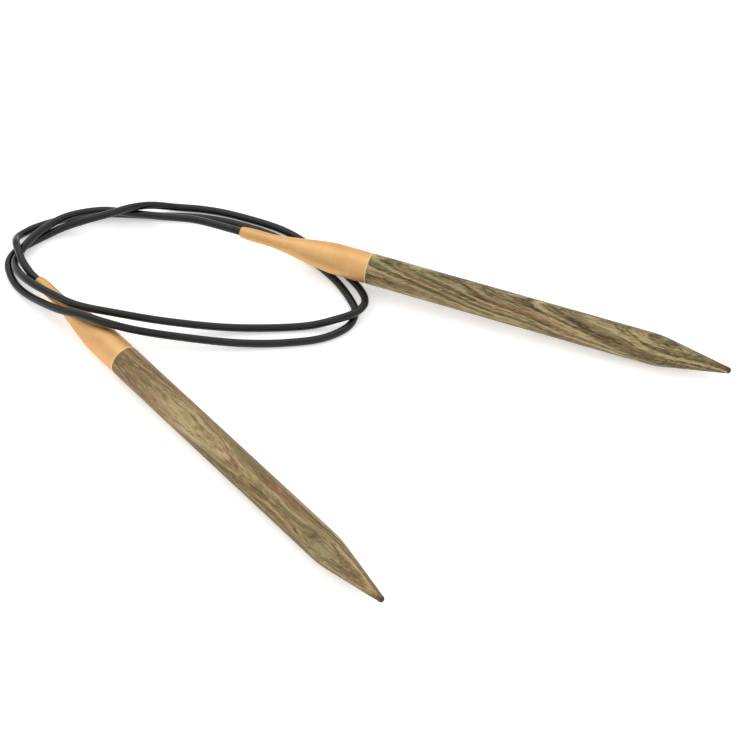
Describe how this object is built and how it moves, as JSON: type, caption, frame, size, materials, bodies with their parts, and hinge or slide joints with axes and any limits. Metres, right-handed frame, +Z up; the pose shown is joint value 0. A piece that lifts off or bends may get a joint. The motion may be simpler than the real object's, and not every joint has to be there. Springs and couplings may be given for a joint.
{
  "type": "circular knitting needle",
  "caption": "Circular knitting needle: two laminated wooden tips in metal ferrules that turn on the ends of a thin coiled cord.",
  "frame": {"origin": "on the surface the needle lies on, under the middle of the box around the two tips and their ferrules", "axes": "+Z up; +X across the view from the coiled cord towards the point of tip B; +Y away from the viewer, from the point of tip A towards the mouth of ferrule B"},
  "size_m": [0.1826, 0.1235, 0.0106],
  "materials": {
    "tip_wood": "satin varnished laminated birch",
    "ferrule_metal": "satin, warm gold",
    "stop_steel": "satin",
    "cord_plastic": "gloss black"
  },
  "bodies": {
    "cord_loop": {"cord": "cord_plastic", "cord_stop_a": "stop_steel", "cord_stop_b": "stop_steel"},
    "needle_a": {"ferrule_a": "ferrule_metal", "needle_tip_a": "tip_wood"},
    "needle_b": {"ferrule_b": "ferrule_metal", "needle_tip_b": "tip_wood"}
  },
  "joints": [
    {"name": "needle_a_swivel", "type": "hinge", "parent": "cord_loop", "child": "needle_a", "pos_m": [-0.086, 0.0405, 0.004], "axis": [0.6756, -0.7373, 0], "continuous": true},
    {"name": "needle_b_swivel", "type": "hinge", "parent": "cord_loop", "child": "needle_b", "pos_m": [-0.035, 0.054, 0.00739], "axis": [0.9445, -0.3271, -0.0314], "continuous": true}
  ]
}
